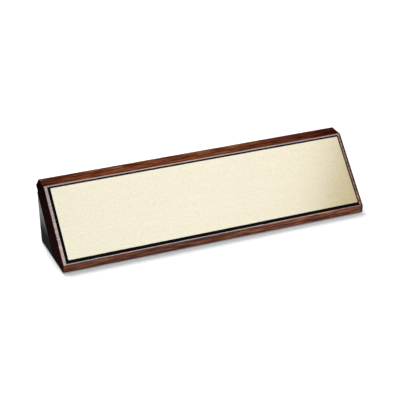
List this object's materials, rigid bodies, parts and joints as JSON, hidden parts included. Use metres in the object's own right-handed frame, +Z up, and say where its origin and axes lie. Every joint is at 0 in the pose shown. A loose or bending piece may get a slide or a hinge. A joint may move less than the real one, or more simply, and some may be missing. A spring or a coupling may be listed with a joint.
{
  "type": "desk name plate",
  "caption": "Leaning walnut board on a black wedge, carrying a bevelled gold-faced engraving plate; stands on a desk to show a name.",
  "frame": {"origin": "on the desk under the middle of the object's bounding box", "axes": "+X along the board to the viewer's right, front towards -Y, +Z up"},
  "size_m": [0.208, 0.0536, 0.0468],
  "materials": {
    "walnut": "satin lacquered walnut",
    "black_lacquer": "smooth black lacquer",
    "plate_black": "cut black plastic core",
    "plate_gold": "satin metallic gold foil",
    "tape": "double-sided tape",
    "beech": "plain turned beech",
    "rubber": "matt black rubber"
  },
  "bodies": {
    "root": {"walnut_board": "walnut", "support_block": "black_lacquer", "plate_core": "plate_black", "plate_face": "plate_gold", "tape_upper": "tape", "tape_lower": "tape", "joint_dowels": "beech", "foot_front_left": "rubber", "foot_front_right": "rubber", "foot_back_left": "rubber", "foot_back_right": "rubber"}
  },
  "joints": []
}
